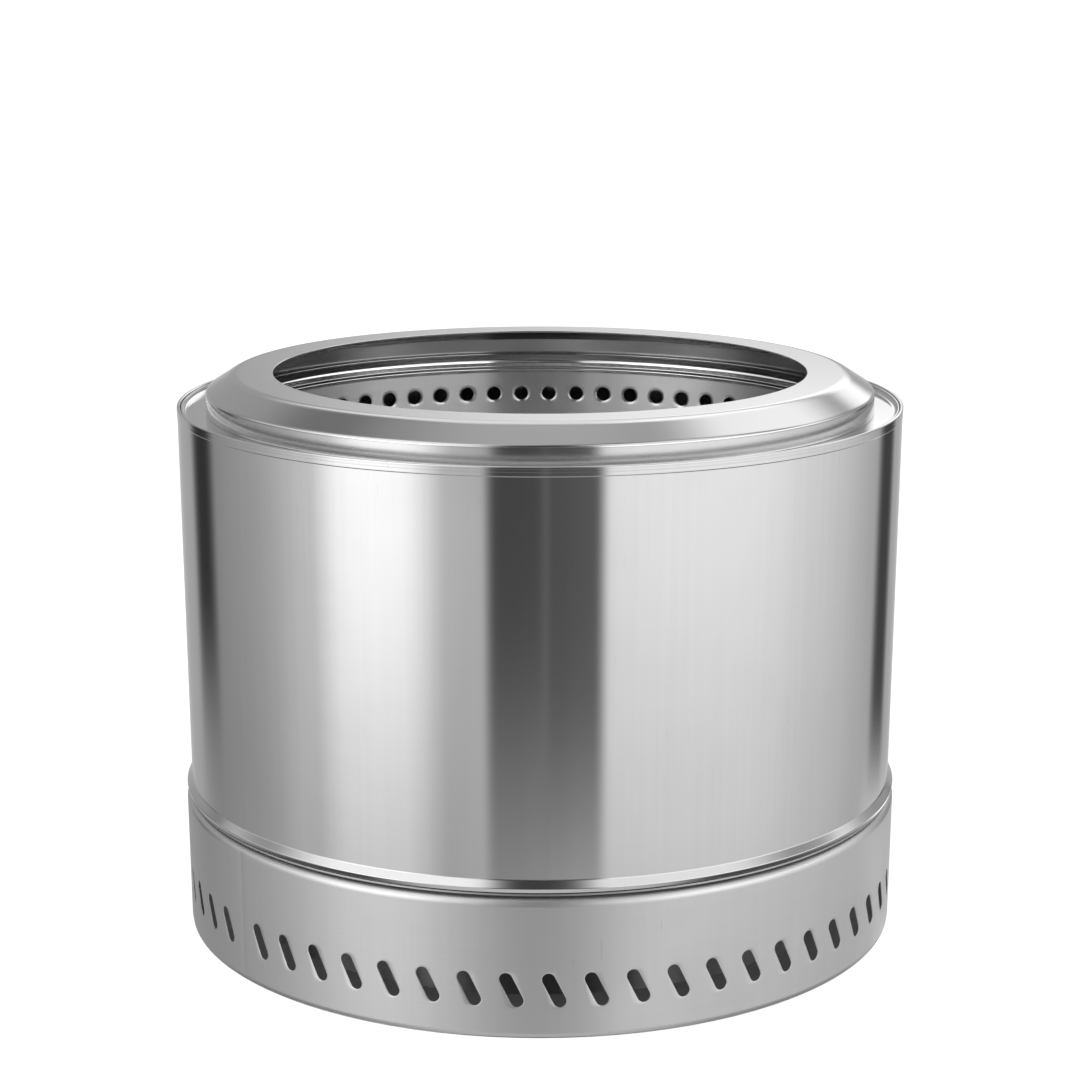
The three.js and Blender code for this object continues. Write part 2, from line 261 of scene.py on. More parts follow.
# Between which levels of its noise a duller patch fades in, and a handling mark
PATCH_LEVELS = (0.45, 0.75)
MARK_LEVELS = (0.70, 0.78)
RELIEF = 0.04
RELIEF_DEPTH = 0.00002
# A quarter turn for the spread of reflections, from round the piece to up and down
QUARTER_TURN = 0.25
# The outer side of the drum: how much painted shade darkens it, and how much rougher it is
OUTSIDE_PAINTED_SHADE = 0.25
OUTSIDE_ROUGHER = 0.35

# Directions straight up and down would divide by zero
NEVER_ZERO = 0.0001
# Room, about level with the pit: azimuth, half width and softness in degrees, then strength
ROOM_FILL = 0.45
ROOM_LIGHTS = (
    (-52, 7, 17, 0.60),
    (-66, 32, 34, 0.26),
    (44, 20, 30, 0.16),
    (56, 41, 43, 0.42),
    (180, 13, 13, 0.12),
)
# These lights lose strength towards the floor, from a little above this elevation down
LOSS_ELEVATION = -15
LOSS_TOP = 0.075
LOSS_RATE = 4
# Dark flags there: azimuth, half width, softness, the elevation where each ends, its softness, depth
ROOM_FLAGS = (
    (10.3, 8.8, 2.5, -20.5, 4.5, 0.88),
    (-7, 8.5, 2.5, -18.3, 3.5, 0.80),
    (-7, 8.5, 2.5, -22.5, 4, 0.42),
    (-112, 12, 24, -25, 8, 0.36),
    (-132, 6, 5, -16.2, 2.5, 0.88),
    (140.7, 6, 4, -17.7, 1.5, 0.86),
)
# Dark flags below an elevation, in the same order
LOW_FLAGS = (
    (-50, 20, 15, -17.5, 3, 0.18),
    (-168, 14, 10, -21, 1.5, 0.3),
    (75, 42, 15, -24, 2, 0.1),
)
# The floor's edge and the near floor's end, each an elevation and its softness, and their tones. Below
# the near floor's end the tone is a painted shadow of the pit
FLOOR_EDGE = (-31, 5)
FLOOR_NEAR = (-64, 6)
PIT_SHADOW_TONE = 0.25
FLOOR_TONE = 0.08
# A pale table on it: azimuth, half width and softness
TABLE = (0, 48, 18)
TABLE_TONE = 0.58
# Lights between two elevations: azimuth, half width, softness, both elevations, softness, strength
LOW_LIGHTS = ((154, 20, 12, -24.5, -19.5, 2.2, 0.80),)
SKY_FILL = 0.40
HIGH_LIGHTS = (
    (167, 10, 12, 9, 22, 3, 1.15),
    (140, 24, 9, 30, 60, 7, 0.90),
    (180, 20, 6, 28, 64, 5, 0.70),
    (-56, 34, 14, 20, 68, 6, 0.90),
    (50, 35, 14, 20, 66, 6, 0.70),
)
HIGH_FLAGS = (
    (1, 17, 11, -5, 66, 6, 0.85),
    (-138, 14, 10, 38, 58, 8, 0.45),
)
TOP_FLAG = (50, 48, 12, 68, 79, 3, 0.9)
ZENITH = (70, 8)
ZENITH_TONE = 0.57
# The front of the room: azimuth, half width and softness. Its sky starts higher than the back's
FRONT = (0, 125, 14)
FRONT_SKY = (26, 6)
BACK_SKY = (0, 5)
# Bands all along the front: lowest and highest elevation, softness, then how much is added
FRONT_BANDS = (
    (-2, 8, 2, -0.45),
    (10, 25, 3, 0.9),
)

# Floor in the picture
FLOOR_REACH = 60
FLOOR_SIDES = 96
WHITE_FLOOR_TONE = 0.3
WHITE_FLOOR_GLOW = 0.91
WHITE_FLOOR_HEIGHT = -0.0004
SHADED_FLOOR_TONE = 0.4
# The ground under the pit has a faint painted glow, though it is no lamp
SHADED_FLOOR_PAINTED_GLOW = 0.025
SHADED_FLOOR_HEIGHT = -0.0002

# Camera
SENSOR = 36
LENS = 80.957
CAMERA_SHIFT = 0.14206
CAMERA_PLACE = (0, -1.27568, 0.49340)
CAMERA_TILT = 90 - 16.417


class Value:
    """An output of a node that takes part in sums like a number."""

    def __init__(self, nodes, socket):
        self.nodes = nodes
        self.socket = socket

    def maths(self, operation, *values):
        return self.nodes.add("ShaderNodeMath", {"operation": operation}, dict(enumerate(values)))

    def __add__(self, other):
        return self.maths("ADD", self, other)

    def __sub__(self, other):
        return self.maths("SUBTRACT", self, other)

    def __rsub__(self, other):
        return self.maths("SUBTRACT", other, self)

    def __mul__(self, other):
        return self.maths("MULTIPLY", self, other)

    def __truediv__(self, other):
        return self.maths("DIVIDE", self, other)

    def __pow__(self, other):
        return self.maths("POWER", self, other)

    __radd__ = __add__
    __rmul__ = __mul__


class Nodes:
    """The nodes of a material, of the world or of a Geometry Nodes tree."""

    def __init__(self, tree):
        self.tree = tree
        tree.nodes.clear()

    def add(self, kind, settings=None, inputs=None, output=0):
        """Adds a node: its settings first, then values or links for its sockets."""
        node = self.tree.nodes.new(kind)
        for name, setting in (settings or {}).items():
            setattr(node, name, setting)
        for name, value in (inputs or {}).items():
            if isinstance(value, Value):
                self.tree.links.new(value.socket, node.inputs[name])
            else:
                node.inputs[name].default_value = value
        outputs = [socket for socket in node.outputs if socket.enabled]
        return Value(self, outputs[output]) if outputs else None

    def split(self, vector):
        """The three parts of a vector."""
        parts = self.add("ShaderNodeSeparateXYZ", {}, {0: vector}).socket.node.outputs
        return [Value(self, part) for part in parts]

    def join(self, geometries):
        """All of these geometries as one."""
        joint = self.tree.nodes.new("GeometryNodeJoinGeometry")
        for geometry in geometries:
            self.tree.links.new(geometry.socket, joint.inputs[0])
        return Value(self, joint.outputs[0])

    def shape_of(self, thing):
        """The geometry of an object."""
        info = self.add("GeometryNodeObjectInfo", {}, {"Object": thing})
        return Value(self, info.socket.node.outputs["Geometry"])


def between(nodes, value, low, high):
    """Rises smoothly from 0 at low to 1 at high."""
    return nodes.add(
        "ShaderNodeMapRange",
        {"interpolation_type": "SMOOTHSTEP"},
        {"Value": value, "From Min": low, "From Max": high, "To Min": 0, "To Max": 1},
    )


def grey(nodes, value):
    """A colour without a hue."""
    return nodes.add("ShaderNodeCombineColor", {}, {0: value, 1: value, 2: value})


def new_tree(name, inputs):
    """The nodes of a new Geometry Nodes tree, and its named inputs. The last is always the steel."""
    tree = bpy.data.node_groups.new(name, "GeometryNodeTree")
    for title, kind in {**inputs, "Steel": "Material"}.items():
        tree.interface.new_socket(title, in_out="INPUT", socket_type="NodeSocket" + kind)
    tree.interface.new_socket("Geometry", in_out="OUTPUT", socket_type="NodeSocketGeometry")
    nodes = Nodes(tree)
    given = nodes.add("NodeGroupInput").socket.node.outputs
    return nodes, {socket.name: Value(nodes, socket) for socket in given}


def end_tree(nodes, geometry, steel):
    """Ends a tree with real geometry in its steel."""
    real = nodes.add("GeometryNodeRealizeInstances", {}, {"Geometry": geometry})
    clad = nodes.add("GeometryNodeSetMaterial", {}, {"Geometry": real, "Material": steel})
    nodes.add("NodeGroupOutput", {}, {"Geometry": clad})
    return nodes.tree


def turning_tree():
    """Turns a section round the Z axis. The section lies in its own XY plane."""
    nodes, given = new_tree(
        "Turn a section", {"Section": "Object", "Facets": "Int", "Spindle radius": "Float"}
    )
    spindle = nodes.add(
        "GeometryNodeCurvePrimitiveCircle",
        {"mode": "RADIUS"},
        {"Resolution": given["Facets"], "Radius": given["Spindle radius"]},
    )
    turned = nodes.add(
        "GeometryNodeCurveToMesh",
        {},
        {"Curve": spindle, "Profile Curve": nodes.shape_of(given["Section"])},
    )
    return end_tree(nodes, turned, given["Steel"])


def row_tree():
    """Repeats a piece round the Z axis, from a first angle on."""
    nodes, given = new_tree(
        "Repeat round the axis",
        {"Piece": "Object", "Count": "Int", "First angle": "Float", "Pitch angle": "Float"},
    )
    places = nodes.add("GeometryNodePoints", {}, {"Count": given["Count"]})
    angle = nodes.add("GeometryNodeInputIndex") * given["Pitch angle"] + given["First angle"]
    turn = nodes.add("ShaderNodeCombineXYZ", {}, {"Z": angle})
    row = nodes.add(
        "GeometryNodeInstanceOnPoints",
        {},
        {"Points": places, "Instance": nodes.shape_of(given["Piece"]), "Rotation": turn},
    )
    return end_tree(nodes, row, given["Steel"])


def plate_tree():
    """A round plate with rows of holes, and two larger holes to lift it by."""
    sizes = ("Plate radius", "Thickness", "Foot", "Hole", "Row pitch", "Grip hole", "Grip inset")
    nodes, given = new_tree("Perforated plate", dict.fromkeys(sizes, "Float"))

    def circle(radius, sides):
        return nodes.add(
            "GeometryNodeCurvePrimitiveCircle",
            {"mode": "RADIUS"},
            {"Resolution": sides, "Radius": radius},
        )

    def moved(geometry, axis, distance):
        place = nodes.add("ShaderNodeCombineXYZ", {}, {axis: distance})
        return nodes.add(
            "GeometryNodeTransform", {}, {"Geometry": geometry, "Translation": place}
        )

    outlines = [circle(given["Plate radius"], FACETS)]
    for row in range(1, GRATE_ROWS + 1):
        places = circle(given["Row pitch"] * row, GRATE_FIRST_ROW * row)
        hole = circle(given["Hole"] * 0.5, GRATE_HOLE_SIDES)
        outlines.append(
            nodes.add("GeometryNodeInstanceOnPoints", {}, {"Points": places, "Instance": hole})
        )
    for side in (1, -1):
        grip = circle(given["Grip hole"] * 0.5, GRIP_HOLE_SIDES)
        outlines.append(moved(grip, "X", (given["Plate radius"] - given["Grip inset"]) * side))
    real = nodes.add("GeometryNodeRealizeInstances", {}, {0: nodes.join(outlines)})
    face = nodes.add("GeometryNodeFillCurve", {}, {"Curve": real})
    upwards = nodes.add("ShaderNodeCombineXYZ", {}, {"Z": 1})
    raised = nodes.add(
        "GeometryNodeExtrudeMesh",
        {"mode": "FACES"},
        {"Mesh": face, "Offset": upwards, "Offset Scale": given["Thickness"], "Individual": False},
    )
    under = nodes.add("GeometryNodeFlipFaces", {}, {"Mesh": face})
    placed = moved(nodes.join((raised, under)), "Z", given["Foot"])
    return end_tree(nodes, placed, given["Steel"])


def grow(name, tree, **values):
    """The mesh object that a tree makes with these inputs."""
    piece = bpy.data.objects.new(name, bpy.data.meshes.new(name))
    bpy.context.scene.collection.objects.link(piece)
    modifier = piece.modifiers.new("Grow", "NODES")
    modifier.node_group = tree
    for item in tree.interface.items_tree:
        if item.in_out == "INPUT":
            modifier[item.identifier] = values[item.name.replace(" ", "_").lower()]
    graph = bpy.context.evaluated_depsgraph_get()
    made = bpy.data.meshes.new_from_object(piece.evaluated_get(graph), depsgraph=graph)
    piece.modifiers.clear()
    piece.data = made
    made.materials.clear()
    made.materials.append(values["steel"])
    return piece


def weld(piece):
    """Merges doubled points, turns the faces outwards and smooths all but the sharp edges."""
    mesh = bmesh.new()
    mesh.from_mesh(piece.data)
    bmesh.ops.remove_doubles(mesh, verts=mesh.verts, dist=WELD)
    bmesh.ops.recalc_face_normals(mesh, faces=mesh.faces)
    mesh.to_mesh(piece.data)
    mesh.free()
    piece.data.shade_smooth()
    piece.data.set_sharp_from_angle(angle=SHARP)
    return piece


def join(name, *pieces):
    """One welded object out of several."""
    mesh = bmesh.new()
    for piece in pieces:
        mesh.from_mesh(piece.data)
    steel = pieces[0].data.materials[0]
    joined = bpy.data.objects.new(name, bpy.data.meshes.new(name))
    mesh.to_mesh(joined.data)
    mesh.free()
    joined.data.materials.append(steel)
    bpy.context.scene.collection.objects.link(joined)
    for piece in pieces:
        bpy.data.objects.remove(piece)
    return weld(joined)


def bent(corners):
    """A closed line through (radius, height, bend) corners, whose bends are arcs."""
    points = []
    for i, corner in enumerate(corners):
        here = Vector(corner[:2])
        bend = corner[2] if len(corner) > 2 else 0
        if not bend:
            points.append(here)
            continue
        before = (Vector(corners[i - 1][:2]) - here).normalized()
        after = (Vector(corners[(i + 1) % len(corners)][:2]) - here).normalized()
        half = before.angle(after) / 2
        if half > math.pi / 2 - STRAIGHT:
            points.append(here)
            continue
        centre = here + (before + after).normalized() * bend / math.sin(half)
        spoke = here + before * bend / math.tan(half) - centre
        sweep = math.pi - 2 * half
        side = -1 if before.x * after.y > before.y * after.x else 1
        steps = max(2, math.ceil(sweep / ARC_STEP))
        for step in range(steps + 1):
            points.append(centre + Matrix.Rotation(side * sweep * step / steps, 2) @ spoke)
    return points


def steady(points):
    """Adds a point close to both ends of each long straight run, so that it shades as straight."""
    line = [points[0]]
    for start, end in zip(points, points[1:]):
        run = end - start
        if run.length > LONG_RUN:
            line += [start + run.normalized() * STEADY, end - run.normalized() * STEADY]
        line.append(end)
    return line


def offset(points, sheet):
    """The same line moved by the sheet's thickness, to the left of its direction."""
    moved = []
    for i, point in enumerate(points):
        into = (point - points[max(i - 1, 0)]).normalized()
        out = (points[min(i + 1, len(points) - 1)] - point).normalized()
        along = (into + out).normalized()
        straight = math.cos(into.angle(out) / 2) if into.length and out.length else 1
        moved.append(point + Vector((-along.y, along.x)) * sheet / straight)
    return moved


def sheet_section(corners, sheet):
    """The closed section of a bent sheet, with its cut edges eased."""
    face = bent(corners)
    line = [*face, *reversed(offset(face, sheet))]
    ends = {0, len(face) - 1, len(face), len(line) - 1}
    return bent([(p.x, p.y, sheet * CUT_EASE if i in ends else 0) for i, p in enumerate(line)])


def on_wall(radius, angle, height):
    """A point on an upright wall. The angle runs from the front towards +X."""
    return Vector((radius * math.sin(angle), -radius * math.cos(angle), height))


def turned(name, section, steel):
    """A piece with the same section all round."""
    line = bpy.data.curves.new("section", "CURVE")
    line.dimensions = "3D"
    section = steady(section)
    spline = line.splines.new("POLY")
    spline.points.add(len(section) - 1)
    spline.use_cyclic_u = True
    for point, place in zip(section, spline.points):
        place.co = (point.x - SPINDLE, -point.y, 0, 1)
    source = bpy.data.objects.new("section", line)
    bpy.context.scene.collection.objects.link(source)
    piece = grow(
        name, TURNING, section=source, facets=FACETS, spindle_radius=SPINDLE, steel=steel
    )
    bpy.data.objects.remove(source)
    return weld(piece)


def quilt(mesh, rows, closed=False):
    """Adds faces between rows of points."""
    lines = [[mesh.verts.new(point) for point in row] for row in rows]
    for low, high in zip(lines, lines[1:]):
        count = len(low)
        for i in range(count if closed else count - 1):
            j = (i + 1) % count
            mesh.faces.new((low[i], low[j], high[j], high[i]))


def slot_outline(width, length, lean, count, lead):
    """Points round a leaning slot and the directions out of it, from its lower end onwards.
    The point with the number lead is the end itself. A round hole is a slot as long as it is wide."""
    run = length - width
    quarter = math.pi * width / 4
    whole = 4 * quarter + 2 * run
    leaning = Matrix.Rotation(lean, 2)
    line = []
    for i in range(count):
        way = ((i - lead) / count % 1) * whole
        if way < quarter:
            angle, shift = way * 2 / width, 0
        elif way < quarter + run:
            angle, shift = math.pi / 2, way - quarter
        elif way < 3 * quarter + run:
            angle, shift = (way - run) * 2 / width, run
        elif way < 3 * quarter + 2 * run:
            angle, shift = 3 * math.pi / 2, 3 * quarter + 2 * run - way
        else:
            angle, shift = (way - 2 * run) * 2 / width, 0
        out = Vector((math.sin(angle), -math.cos(angle)))
        point = out * width / 2 + Vector((0, shift - run / 2))
        line.append((leaning @ point, leaning @ out))
    return line


def punched_cell(chains, band, centre, faces, pitch, columns, rows, hole, edge, flat=False, skew=None):
    """One hole's share of a punched sheet, to be repeated round the axis.
    The chains are the sections of the sheet beside the band that the holes lie in. The band is two
    heights in an upright sheet, or two radii in a flat one, and the hole's centre lies between them.
    The faces are the two sides of the sheet, first the one where the edge starts. The edge runs
    through the sheet, as distances from the hole's outline and radii or heights. The hole is a width,
    a length and a lean. A skew is a height, and the angle by which points there are turned."""
    mesh = bmesh.new()
    angles = [pitch * (i / columns - 0.5) for i in range(columns + 1)]
    for chain in chains:
        line = steady(chain)
        quilt(mesh, [[on_wall(p.x, a + turn_at(p, skew), p.y) for a in angles] for p in line])
    low, high = band
    levels = [low + (high - low) * i / rows for i in range(rows + 1)]
    border = [(a, low) for a in angles[:-1]] + [(angles[-1], z) for z in levels[:-1]]
    border += [(a, high) for a in angles[:0:-1]] + [(angles[0], z) for z in levels[:0:-1]]
    line = slot_outline(*hole, count=len(border), lead=columns / 2)
    rings = [(share, edge[0][0], faces[0]) for share in HOLE_RINGS]
    rings += [(0, distance, level) for distance, level in edge]
    rings += [(share, edge[-1][0], faces[1]) for share in reversed(HOLE_RINGS)]
    around = centre if flat else faces[0]
    lines = []
    for share, distance, level in rings:
        ring = []
        for (angle, along), (point, out) in zip(border, line):
            near = point + out * distance
            across = share * angle + (1 - share) * near.x / around
            up = share * along + (1 - share) * (near.y + centre)
            ring.append(on_wall(up, across, level) if flat else on_wall(level, across, up))
        lines.append(ring)
    quilt(mesh, lines, closed=True)
    return cell_object(mesh)


def turn_at(point, skew):
    """The angle that a point at the skew's height is turned by."""
    return skew[1] if skew and abs(point.y - skew[0]) < WELD else 0


def cell_object(mesh):
    """An object with this mesh, to be repeated or joined."""
    data = bpy.data.meshes.new("cell")
    mesh.to_mesh(data)
    mesh.free()
    cell = bpy.data.objects.new("cell", data)
    bpy.context.scene.collection.objects.link(cell)
    return cell


def row_of(name, cell, count, first, pitch, steel):
    """A cell repeated round the axis. The cell itself is used up."""
    piece = grow(
        name, ROW, piece=cell, count=count, first_angle=first, pitch_angle=pitch, steel=steel
    )
    bpy.data.objects.remove(cell)
    return piece


def dress(piece, body, slot, *nodes):
    """Puts a finished piece in the place of its solids."""
    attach(piece, body)
    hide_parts(*nodes)


def steel_material(name, colour, roughness, spread, grain, streaks, wear, marks=0, painted_shade_and_rough_beyond=0):
    """Rolled stainless steel. Its grain runs round the piece, and the spread draws reflections out
    up and down. It has faint streaks up and down, soft patches where wear makes it duller, and short
    handling marks there. From a radius outwards a drum's outer side is darkened with painted shade,
    and made rougher."""
    material = bpy.data.materials.new(name)
    material.use_nodes = True
    nodes = Nodes(material.node_tree)
    place = nodes.add("ShaderNodeTexCoord", {}, {}, output=3)
    x, y, z = nodes.split(place)
    radius = (x * x + y * y) ** 0.5

    def lines(pace, height, detail):
        """Noise with so many lines per metre across the piece and up it."""
        across, up = pace
        drawn = {"X": x * across, "Y": y * across, "Z": height * up}
        drawn = nodes.add("ShaderNodeCombineXYZ", {}, drawn)
        return nodes.add("ShaderNodeTexNoise", {}, {"Vector": drawn, "Scale": 1, "Detail": detail})

    fine = lines(GRAIN_PACE, radius + z, 2)
    streak = lines(STREAK_PACE, z, 2)
    scratch = lines(MARK_PACE, z, 1)
    patch = nodes.add(
        "ShaderNodeTexNoise", {}, {"Vector": place, "Scale": PATCH_PACE, "Detail": 3}
    )
    dull = between(nodes, patch, *PATCH_LEVELS)
    marked = between(nodes, scratch, *MARK_LEVELS) * dull
    tone = 1 + (fine - 0.5) * grain + (streak - 0.5) * streaks - dull * wear - marked * marks
    rough = roughness * (1 + (fine - 0.5) * grain * 2 + dull * wear * 3)
    # Painted shade: from this radius out the drum's outer side is darker, and it is also rougher
    if painted_shade_and_rough_beyond:
        painted_shade_and_rough = between(nodes, radius, painted_shade_and_rough_beyond - FINE_EASE, painted_shade_and_rough_beyond + FINE_EASE)
        tone = tone * (1 - painted_shade_and_rough * OUTSIDE_PAINTED_SHADE)
        rough = rough + painted_shade_and_rough * OUTSIDE_ROUGHER
    relief = nodes.add(
        "ShaderNodeBump",
        {},
        {"Strength": RELIEF, "Distance": RELIEF_DEPTH, "Height": fine + streak * 0.5},
    )
    shader = nodes.add(
        "ShaderNodeBsdfPrincipled",
        {},
        {
            "Base Color": grey(nodes, tone * colour),
            "Metallic": 1,
            "Roughness": rough,
            "Normal": relief,
            "Anisotropic": spread,
            "Anisotropic Rotation": QUARTER_TURN,
        },
    )
    nodes.add("ShaderNodeOutputMaterial", {}, {"Surface": shader})
    return material


POLISHED = steel_material(
    "polished steel",
    colour=0.67, roughness=0.10, spread=0.7, grain=0.03, streaks=0.06, wear=0.03, marks=0.10,
)
DECK_STEEL = steel_material(
    "bright sheet steel",
    colour=0.70, roughness=0.08, spread=0.3, grain=0.02, streaks=0.02, wear=0.03,
)
RING_STEEL = steel_material(
    "satin steel",
    colour=0.65, roughness=0.15, spread=0.5, grain=0.04, streaks=0.02, wear=0.04,
)
DRUM_STEEL = steel_material(
    "rolled steel",
    colour=0.76, roughness=0.30, spread=0.95, grain=0.06, streaks=0.06, wear=0.04,
    # Painted shade darkens the drum's outer side, so that the slots look dark
    painted_shade_and_rough_beyond=CHAMBER_RADIUS - WALL_SHEET / 2,
)
# The base ring lies deep between the walls: its steel is darker than the rest, as painted shade
BASE_STEEL_IN_PAINTED_SHADE = steel_material(
    "dull steel in painted shade",
    colour=0.44, roughness=0.45, spread=0.3, grain=0.10, streaks=0.03, wear=0.08,
)
BRUSHED = steel_material(
    "brushed steel",
    colour=0.70, roughness=0.38, spread=0.5, grain=0.08, streaks=0.05, wear=0.05, marks=0.16,
)
PLAIN = steel_material(
    "plain sheet steel",
    colour=0.64, roughness=0.30, spread=0.4, grain=0.10, streaks=0.03, wear=0.08,
)

TURNING = turning_tree()
ROW = row_tree()
PLATE = plate_tree()


def stand():
    """The rolled skirt with its curled lip, hemmed foot, leaning slots and weld seam."""
    inner = STAND_RADIUS - STAND_SHEET
    hem = STAND_RADIUS - 2 * STAND_SHEET
    low, high = SLOT_BAND
    lip = bent(
        [
            (STAND_RADIUS, high),
            (STAND_RADIUS, STAND_TOP, STAND_LIP_BEND),
            (STAND_LIP_INNER, STAND_TOP, STAND_LIP_INNER_BEND),
            (STAND_LIP_INNER, STAND_TOP - STAND_LIP_DROP),
        ]
    )
    over = [*lip, *reversed(offset(lip, STAND_SHEET))]
    under = bent(
        [
            (inner, low),
            (inner, HEM_HEIGHT),
            (hem, HEM_HEIGHT, HEM_BEND),
            (hem, 0, HEM_BEND),
            (STAND_RADIUS - HEM_TUCK, 0, HEM_BEND),
            (STAND_RADIUS, HEM_TUCK_HEIGHT, HEM_TUCK_BEND),
            (STAND_RADIUS, low),
        ]
    )
    edge = [
        (EASE, STAND_RADIUS),
        (EASE * ARC_MIDDLE, STAND_RADIUS - EASE * ARC_MIDDLE),
        (0, STAND_RADIUS - EASE),
        (0, inner + EASE),
        (EASE, inner),
    ]
    pitch = (2 * math.pi - SEAM_GAP) / (SLOTS - 1)
    slot = (SLOT_WIDTH, SLOT_LENGTH, SLOT_LEAN)
    cell = punched_cell(
        (over, under), SLOT_BAND, SLOT_HEIGHT, (STAND_RADIUS, inner), pitch,
        SLOT_COLUMNS, SLOT_ROWS, slot, edge,
    )
    first = SEAM_ANGLE + SEAM_GAP / 2
    slotted = row_of("slotted_skirt", cell, SLOTS, first, pitch, BRUSHED)

    # The strip at the weld seam, a shallow groove
    half = (SEAM_GAP - pitch) / 2
    groove = SEAM_WIDTH / 2 / STAND_RADIUS
    heights = [low + (high - low) * i / SLOT_ROWS for i in range(SLOT_ROWS + 1)]
    outer_side = [Vector((STAND_RADIUS, z)) for z in heights]
    inner_side = [Vector((inner, z)) for z in reversed(heights)]
    section = [*steady(over), *inner_side[1:-1], *steady(under), *outer_side[1:]]
    bottom = groove * SEAM_BOTTOM
    ways = ((-half, 0), (-groove, 0), (-bottom, 1), (bottom, 1), (groove, 0), (half, 0))
    mesh = bmesh.new()
    strip = []
    for point in section:
        on_face = point.x > STAND_RADIUS - STAND_SHEET / 2 and HEM_TUCK_HEIGHT < point.y
        sunk = SEAM_DEPTH if on_face else 0
        strip.append([on_wall(point.x - sunk * deep, SEAM_ANGLE + a, point.y) for a, deep in ways])
    quilt(mesh, strip)
    seam = cell_object(mesh)
    seam.data.materials.append(BRUSHED)
    piece = join("stand", slotted, seam)
    dress(piece, "stand", "brushed_steel", "stand_skirt")


def outer_wall():
    """The polished outer cylinder with its hemmed rim and flared bead."""
    proud = BODY_RADIUS + HEM_PROUD
    fold = BODY_RADIUS - 2 * WALL_SHEET
    flare = [(BODY_RADIUS + out, BEAD_FOOT + up, bend) for out, up, bend in reversed(FLARE)]
    behind = [(radius - WALL_SHEET, height) for radius, height, bend in reversed(flare)]
    lines = []
    for drop in reversed(HEM_LINES):
        line = RIM_TOP - drop
        lines += [
            (proud, line - HEM_LINE_HALF),
            (proud - HEM_LINE_DEPTH, line),
            (proud, line + HEM_LINE_HALF),
        ]
    section = bent(
        [
            (BEAD_INNER, BEAD_FOOT),
            (BEAD_INNER + BEAD_SEAT, BEAD_FOOT, CREASE),
            (BEAD_RADIUS - BEAD_SHY, BEAD_FOOT + BEAD_GAP, BEAD_BEND),
            *flare,
            (BODY_RADIUS, RIM_TOP - HEM_DROP - HEM_PROUD, CREASE),
            (proud, RIM_TOP - HEM_DROP, EASE),
            *lines,
            (proud, RIM_TOP, HEM_ROUND),
            (fold, RIM_TOP, HEM_ROUND),
            (fold, RIM_TOP - HEM_INNER_DROP, CREASE),
            (fold + WALL_SHEET, RIM_TOP - HEM_INNER_DROP),
            *behind,
            (BEAD_INNER, BEAD_FOOT + WALL_SHEET),
        ]
    )
    piece = turned("wall", section, POLISHED)
    dress(piece, "body", "polished_steel", "outer_wall")


def top_deck():
    """The plate between the walls, with its raised roll and beaded mouth."""
    edge = DECK_EDGE - DECK_SHEET
    edge_top = DECK_TOP + DECK_EDGE_RISE
    crest = DECK_TOP + ROLL_RISE
    roll_out = ROLL_FOOT - ROLL_CREST
    roll_in = ROLL_CREST - MOUTH_RADIUS
    quarter = [math.pi / 2 * i / ROLL_STEPS for i in range(1, ROLL_STEPS + 1)]
    outer_roll = [
        (ROLL_FOOT - roll_out * (1 - math.cos(a)), DECK_TOP + ROLL_RISE * math.sin(a))
        for a in quarter
    ]
    inner_roll = [
        (ROLL_CREST - roll_in * math.sin(a), crest - ROLL_FALL * (1 - math.cos(a)))
        for a in quarter
    ]
    bead = MOUTH_RADIUS - MOUTH_BEAD_PROUD
    crown = [(bead, MOUTH_FOOT + MOUTH_BEAD_DEPTH * share) for share in MOUTH_BEAD_CROWN]
    section = bent(
        [
            (edge, edge_top, EASE),
            (edge, DECK_TOP, DECK_EDGE_BEND),
            (ROLL_FOOT, DECK_TOP),
            *outer_roll,
            *inner_roll,
            (MOUTH_RADIUS, MOUTH_FOOT + MOUTH_BEAD_DEPTH, MOUTH_BEAD_START),
            *[(*place, MOUTH_BEAD_BEND) for place in crown],
            (MOUTH_RADIUS, MOUTH_FOOT, EASE),
            (MOUTH_RADIUS + DECK_SHEET, MOUTH_FOOT),
            (MOUTH_RADIUS + DECK_SHEET, crest - ROLL_FALL),
            (ROLL_CREST, crest - DECK_SHEET, ROLL_UNDER_BEND),
            (ROLL_FOOT, DECK_TOP - DECK_SHEET),
            (DECK_EDGE, DECK_TOP - DECK_SHEET, DECK_EDGE_BEND),
            (DECK_EDGE, edge_top, EASE),
        ]
    )
    piece = turned("deck", section, DECK_STEEL)
    dress(piece, "body", "satin_steel", "top_deck")


